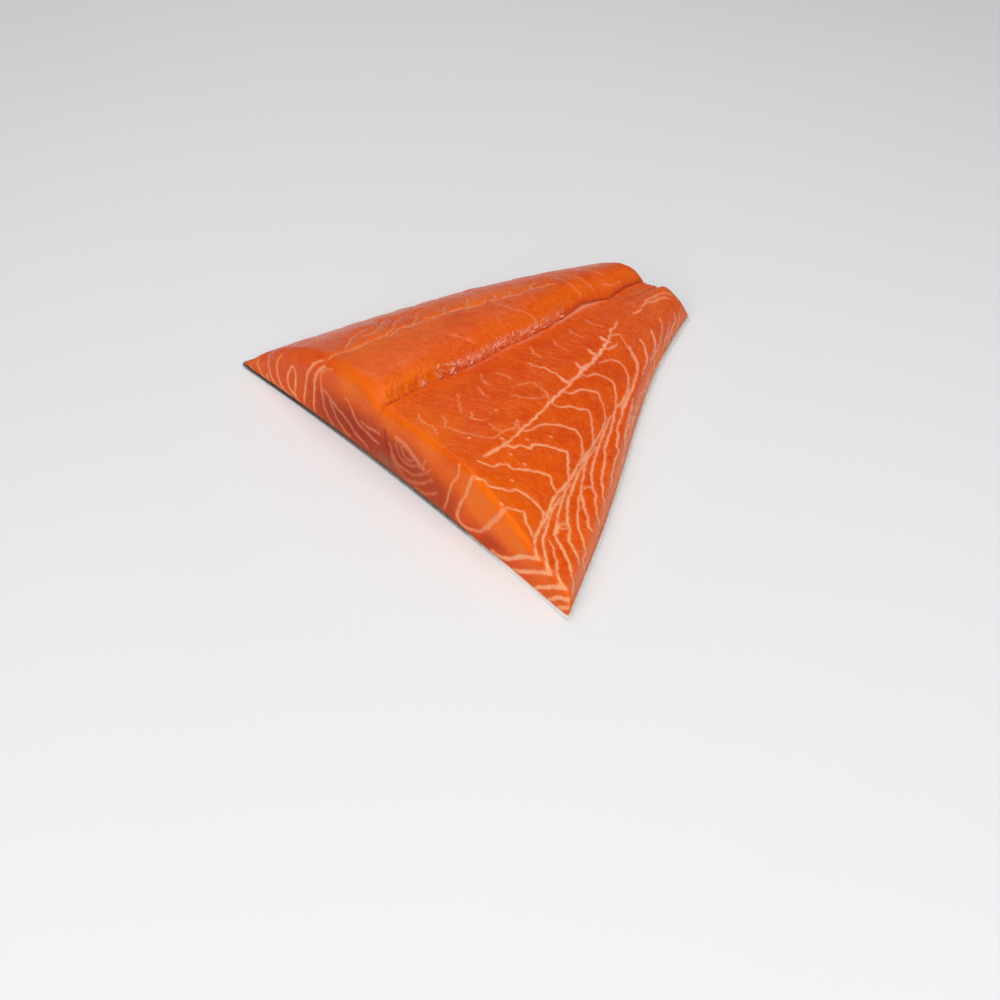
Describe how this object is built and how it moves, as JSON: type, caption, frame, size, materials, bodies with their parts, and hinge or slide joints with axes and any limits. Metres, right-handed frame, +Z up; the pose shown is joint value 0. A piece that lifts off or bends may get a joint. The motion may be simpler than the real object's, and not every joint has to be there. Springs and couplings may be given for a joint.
{
  "type": "raw salmon fillet",
  "caption": "Raw salmon fillet, tail half of one side, skin down, with a thick back loin, a seam groove, a thin belly flap and a straight cut end.",
  "frame": {"origin": "centre of the footprint's box, on the surface that the fillet lies on", "axes": "+X across the fillet from the back towards the belly, +Y along the seam from the cut end to the tail end, +Z up out of the cut surface"},
  "size_m": [0.195, 0.1652, 0.0305],
  "materials": {
    "flesh": "wet, slightly translucent orange flesh with pale fat lines and a soft gloss",
    "skin": "wet fish skin, dark along the back, silver along the side and white along the belly"
  },
  "bodies": {
    "root": {"flesh": "flesh", "skin": "skin"}
  },
  "joints": []
}
